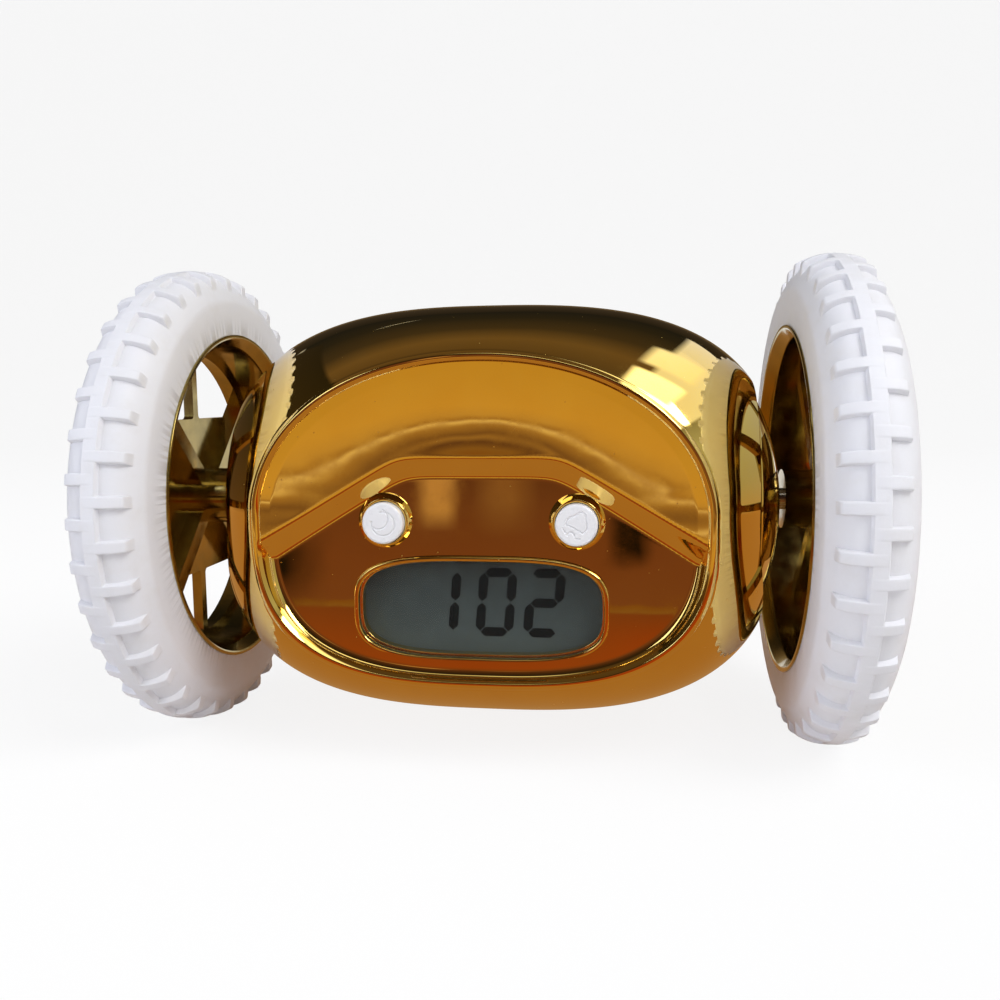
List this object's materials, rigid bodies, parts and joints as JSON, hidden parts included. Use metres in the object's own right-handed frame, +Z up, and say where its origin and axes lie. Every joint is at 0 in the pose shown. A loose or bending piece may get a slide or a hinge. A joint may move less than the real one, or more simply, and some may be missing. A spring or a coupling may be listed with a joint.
{
  "type": "runaway alarm clock",
  "caption": "Runaway alarm clock: rounded gold-plated body with a dished digital dial, hung between two large white rubber wheels with their own geared motors.",
  "frame": {"origin": "on the floor under the middle of the axle line, the centre of the box's bottom face", "axes": "+X across the wheels, the dial looks along -Y, +Z up"},
  "size_m": [0.1332, 0.089, 0.089],
  "materials": {
    "gold_plating": "mirror gold vacuum plating on ABS",
    "white_rubber": "soft satin white",
    "white_plastic": "semi-gloss",
    "clear_window": "clear polished",
    "lcd_glass": "dark grey reflective ground",
    "lcd_ink": "black",
    "dark_plastic": "moulded matte",
    "contact_rubber": "matte",
    "circuit_board": "solder mask",
    "nylon": "natural",
    "steel": "bright",
    "motor_can": "bright steel can",
    "cell_sleeve": "printed sleeve, plain"
  },
  "bodies": {
    "case": {"front_shell": "gold_plating", "rear_shell": "gold_plating", "left_side_cap": "gold_plating", "right_side_cap": "gold_plating", "display_bezel": "gold_plating", "display_window": "clear_window", "lcd_panel": "lcd_glass", "lcd_segments": "lcd_ink", "lcd_frame": "dark_plastic", "board_parts": "dark_plastic", "front_switches": "dark_plastic", "rear_switches": "dark_plastic", "speaker": "dark_plastic", "battery_box": "dark_plastic", "left_gear_frame": "dark_plastic", "right_gear_frame": "dark_plastic", "contact_strips": "contact_rubber", "main_board": "circuit_board", "rear_board": "circuit_board", "run_switch": "steel", "battery_contacts": "steel", "case_screws": "steel", "board_screws": "steel", "left_idler_pin": "steel", "right_idler_pin": "steel", "left_motor": "motor_can", "right_motor": "motor_can", "batteries": "cell_sleeve"},
    "left_wheel": {"left_hub": "gold_plating", "left_tyre": "white_rubber", "left_hub_cap": "gold_plating", "left_axle": "steel", "left_output_gear": "nylon"},
    "left_idler": {"left_idler_gear": "nylon"},
    "left_rotor": {"left_motor_shaft": "steel", "left_motor_pinion": "nylon"},
    "right_wheel": {"right_hub": "gold_plating", "right_tyre": "white_rubber", "right_hub_cap": "gold_plating", "right_axle": "steel", "right_output_gear": "nylon"},
    "right_idler": {"right_idler_gear": "nylon"},
    "right_rotor": {"right_motor_shaft": "steel", "right_motor_pinion": "nylon"},
    "snooze_key": {"snooze_button": "white_plastic", "snooze_plunger": "nylon"},
    "alarm_key": {"alarm_button": "white_plastic", "alarm_plunger": "nylon"},
    "hour_key": {"hour_button": "white_plastic", "hour_plunger": "nylon"},
    "minute_key": {"minute_button": "white_plastic", "minute_plunger": "nylon"},
    "time_key": {"time_button": "white_plastic", "time_plunger": "nylon"},
    "alarm_set_key": {"alarm_set_button": "white_plastic", "alarm_set_plunger": "nylon"},
    "run_slider": {"run_knob": "dark_plastic"},
    "door": {"battery_door": "gold_plating", "door_screw": "steel"}
  },
  "joints": [
    {"name": "left_wheel_spin", "type": "hinge", "parent": "case", "child": "left_wheel", "pos_m": [-0.0598, 0, 0.0445], "axis": [1, 0, 0], "continuous": true},
    {"name": "left_idler_spin", "type": "hinge", "parent": "case", "child": "left_idler", "pos_m": [-0.0373, 0.01102, 0.0514], "axis": [1, 0, 0], "continuous": true},
    {"name": "left_motor_spin", "type": "hinge", "parent": "case", "child": "left_rotor", "pos_m": [-0.0373, 0.006, 0.0405], "axis": [1, 0, 0], "continuous": true},
    {"name": "right_wheel_spin", "type": "hinge", "parent": "case", "child": "right_wheel", "pos_m": [0.0598, 0, 0.0445], "axis": [1, 0, 0], "continuous": true},
    {"name": "right_idler_spin", "type": "hinge", "parent": "case", "child": "right_idler", "pos_m": [0.0373, 0.01102, 0.0514], "axis": [1, 0, 0], "continuous": true},
    {"name": "right_motor_spin", "type": "hinge", "parent": "case", "child": "right_rotor", "pos_m": [0.0373, 0.006, 0.0405], "axis": [1, 0, 0], "continuous": true},
    {"name": "snooze_press", "type": "slide", "parent": "case", "child": "snooze_key", "axis": [0, 1, 0], "range_m": [0, 0.0005], "stiffness_N_per_m": 500},
    {"name": "alarm_press", "type": "slide", "parent": "case", "child": "alarm_key", "axis": [0, 1, 0], "range_m": [0, 0.0005], "stiffness_N_per_m": 500},
    {"name": "hour_press", "type": "slide", "parent": "case", "child": "hour_key", "axis": [0, -1, 0], "range_m": [0, 0.0005], "stiffness_N_per_m": 500},
    {"name": "minute_press", "type": "slide", "parent": "case", "child": "minute_key", "axis": [0, -1, 0], "range_m": [0, 0.0005], "stiffness_N_per_m": 500},
    {"name": "time_press", "type": "slide", "parent": "case", "child": "time_key", "axis": [0, -1, 0], "range_m": [0, 0.0005], "stiffness_N_per_m": 500},
    {"name": "alarm_set_press", "type": "slide", "parent": "case", "child": "alarm_set_key", "axis": [0, -1, 0], "range_m": [0, 0.0005], "stiffness_N_per_m": 500},
    {"name": "run_switch_slide", "type": "slide", "parent": "case", "child": "run_slider", "axis": [1, 0, 0], "range_m": [0, 0.004]},
    {"name": "battery_door_slide", "type": "slide", "parent": "case", "child": "door", "axis": [0, 0, -1], "range_m": [0, 0.02]}
  ],
  "couplings": [
    {"joint": "left_idler_spin", "follows": "left_wheel_spin", "ratio": -3.3333},
    {"joint": "left_motor_spin", "follows": "left_wheel_spin", "ratio": 10},
    {"joint": "right_idler_spin", "follows": "right_wheel_spin", "ratio": -3.3333},
    {"joint": "right_motor_spin", "follows": "right_wheel_spin", "ratio": 10}
  ]
}
